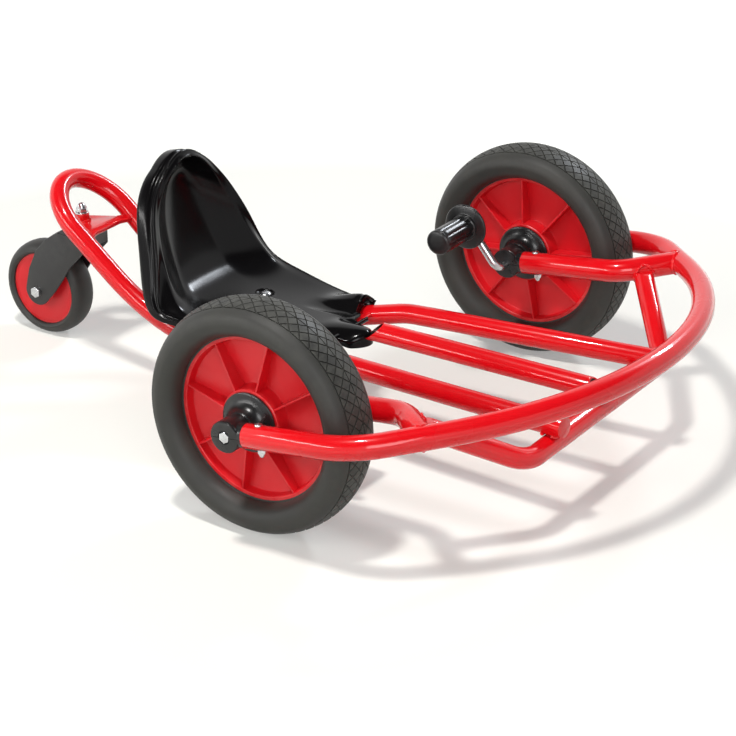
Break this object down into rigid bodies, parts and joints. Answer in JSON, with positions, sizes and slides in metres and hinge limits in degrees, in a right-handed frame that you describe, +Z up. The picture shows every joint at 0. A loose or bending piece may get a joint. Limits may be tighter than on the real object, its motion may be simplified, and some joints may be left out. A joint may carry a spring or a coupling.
{
  "type": "swing car",
  "caption": "Low three-wheeled ride-on: large hand-cranked front wheels inside a tube hoop, a bucket seat and a swivelling rear caster.",
  "frame": {"origin": "on the floor, at the centre of the car's length and width", "axes": "+X to the rider's left, +Y towards the caster at the rear, +Z up; lengths in metres"},
  "size_m": [0.7404, 0.9763, 0.2945],
  "materials": {
    "frame_paint": "gloss red powder coat",
    "wheel_plastic": "satin red moulding",
    "seat_plastic": "gloss black moulding",
    "black_plastic": "satin black moulding",
    "fork_plastic": "fine-grained dark grey moulding",
    "tyre": "matt moulded rubber",
    "caster_rubber": "matt moulded rubber",
    "zinc_steel": "bright zinc plate"
  },
  "bodies": {
    "frame": {"bumper_hoop": "frame_paint", "caster_bracket": "frame_paint", "caster_head_tube": "frame_paint", "caster_stem": "zinc_steel", "caster_stem_nut": "zinc_steel", "caster_stem_washer": "zinc_steel", "caster_top_race": "black_plastic", "centre_rail": "frame_paint", "left_inner_arm": "frame_paint", "left_inner_block_lower": "black_plastic", "left_inner_block_nut": "zinc_steel", "left_inner_block_screw": "zinc_steel", "left_inner_block_upper": "black_plastic", "left_outer_block_lower": "black_plastic", "left_outer_block_nut": "zinc_steel", "left_outer_block_screw": "zinc_steel", "left_outer_block_upper": "black_plastic", "left_seat_bolt": "zinc_steel", "left_seat_nut": "zinc_steel", "lower_front_bar": "frame_paint", "main_loop_tube": "frame_paint", "rail_tie_strap": "frame_paint", "right_inner_arm": "frame_paint", "right_inner_block_lower": "black_plastic", "right_inner_block_nut": "zinc_steel", "right_inner_block_screw": "zinc_steel", "right_inner_block_upper": "black_plastic", "right_outer_block_lower": "black_plastic", "right_outer_block_nut": "zinc_steel", "right_outer_block_screw": "zinc_steel", "right_outer_block_upper": "black_plastic", "right_seat_bolt": "zinc_steel", "right_seat_nut": "zinc_steel", "seat_bolt_strap": "frame_paint", "seat_shell": "seat_plastic"},
    "right_wheel": {"right_tyre": "tyre", "right_rim": "wheel_plastic", "right_outer_bell": "black_plastic", "right_inner_bell": "black_plastic", "right_crank_axle": "zinc_steel", "right_axle_nut": "zinc_steel", "right_grip_retainer": "zinc_steel"},
    "left_wheel": {"left_tyre": "tyre", "left_rim": "wheel_plastic", "left_outer_bell": "black_plastic", "left_inner_bell": "black_plastic", "left_crank_axle": "zinc_steel", "left_axle_nut": "zinc_steel", "left_grip_retainer": "zinc_steel"},
    "right_handle": {"right_grip": "black_plastic", "right_grip_cap": "black_plastic"},
    "left_handle": {"left_grip": "black_plastic", "left_grip_cap": "black_plastic"},
    "caster": {"caster_fork": "fork_plastic", "caster_axle_bolt": "zinc_steel", "caster_axle_nut": "zinc_steel"},
    "caster_wheel": {"caster_tyre": "caster_rubber", "caster_core": "wheel_plastic", "caster_bush": "fork_plastic"}
  },
  "joints": [
    {"name": "right_wheel_spin", "type": "hinge", "parent": "frame", "child": "right_wheel", "pos_m": [-0.3, -0.1302, 0.1375], "axis": [1, 0, 0], "continuous": true},
    {"name": "left_wheel_spin", "type": "hinge", "parent": "frame", "child": "left_wheel", "pos_m": [0.3, -0.1302, 0.1375], "axis": [1, 0, 0], "continuous": true},
    {"name": "right_grip_spin", "type": "hinge", "parent": "right_wheel", "child": "right_handle", "pos_m": [-0.1395, -0.15421, 0.07591], "axis": [1, 0, 0], "continuous": true},
    {"name": "left_grip_spin", "type": "hinge", "parent": "left_wheel", "child": "left_handle", "pos_m": [0.1395, -0.08789, 0.18828], "axis": [1, 0, 0], "continuous": true},
    {"name": "caster_swivel", "type": "hinge", "parent": "frame", "child": "caster", "pos_m": [0, 0.3655, 0.156], "axis": [0, 0, 1], "continuous": true},
    {"name": "caster_wheel_spin", "type": "hinge", "parent": "caster", "child": "caster_wheel", "pos_m": [0, 0.4248, 0.0634], "axis": [1, 0, 0], "continuous": true}
  ]
}
